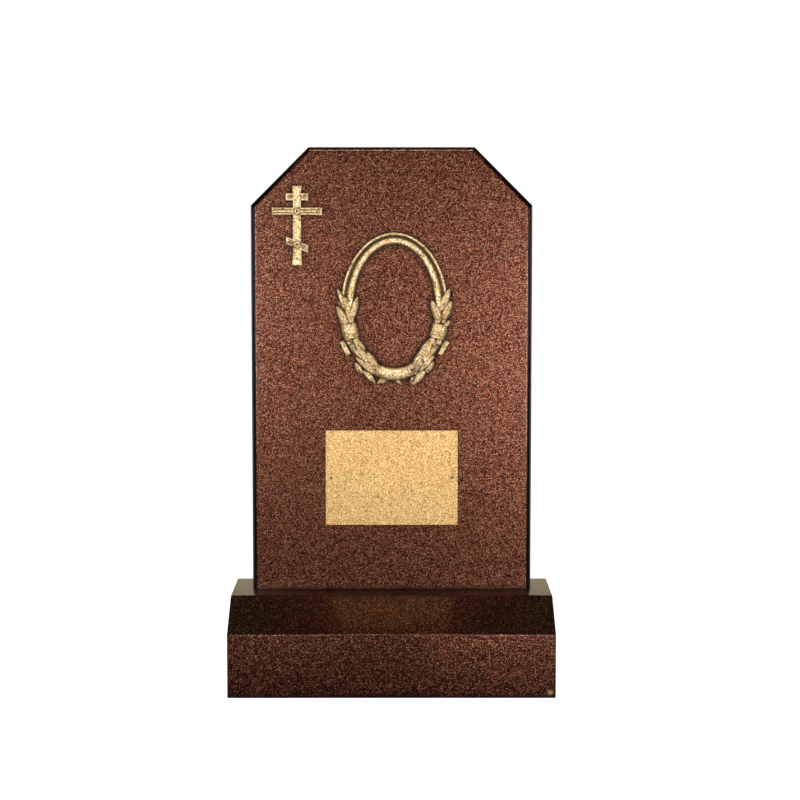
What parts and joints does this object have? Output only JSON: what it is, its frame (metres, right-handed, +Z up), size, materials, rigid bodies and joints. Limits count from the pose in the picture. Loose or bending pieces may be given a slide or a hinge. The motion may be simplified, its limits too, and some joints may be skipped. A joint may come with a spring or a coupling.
{
  "type": "sheet metal grave headstone",
  "caption": "Upright grave marker with clipped top corners on a sloped plinth, hammered copper finish, with a cast cross, an oval wreath photo frame and a blank name plate",
  "frame": {"origin": "on the ground under the middle of the plinth", "axes": "+X to the viewer's right, -Y out of the decorated face, +Z up"},
  "size_m": [0.5, 0.24, 0.8353],
  "materials": {
    "hammered_copper": "glossy hammered antique copper coat, dark ground with copper flecks",
    "gold_bronze": "satin gold-bronze casting with darker recesses and a fine speckle",
    "gold_plate": "matt gold-coloured plate with a fine dark speckle"
  },
  "bodies": {
    "root": {"plinth": "hammered_copper", "stele": "hammered_copper", "foot_weld_left": "hammered_copper", "foot_weld_middle": "hammered_copper", "foot_weld_right": "hammered_copper", "cross": "gold_bronze", "cross_rivet_upper": "gold_bronze", "cross_rivet_lower": "gold_bronze", "wreath_frame": "gold_bronze", "name_plate": "gold_plate", "plate_rivet_left": "gold_bronze", "plate_rivet_right": "gold_bronze"}
  },
  "joints": []
}
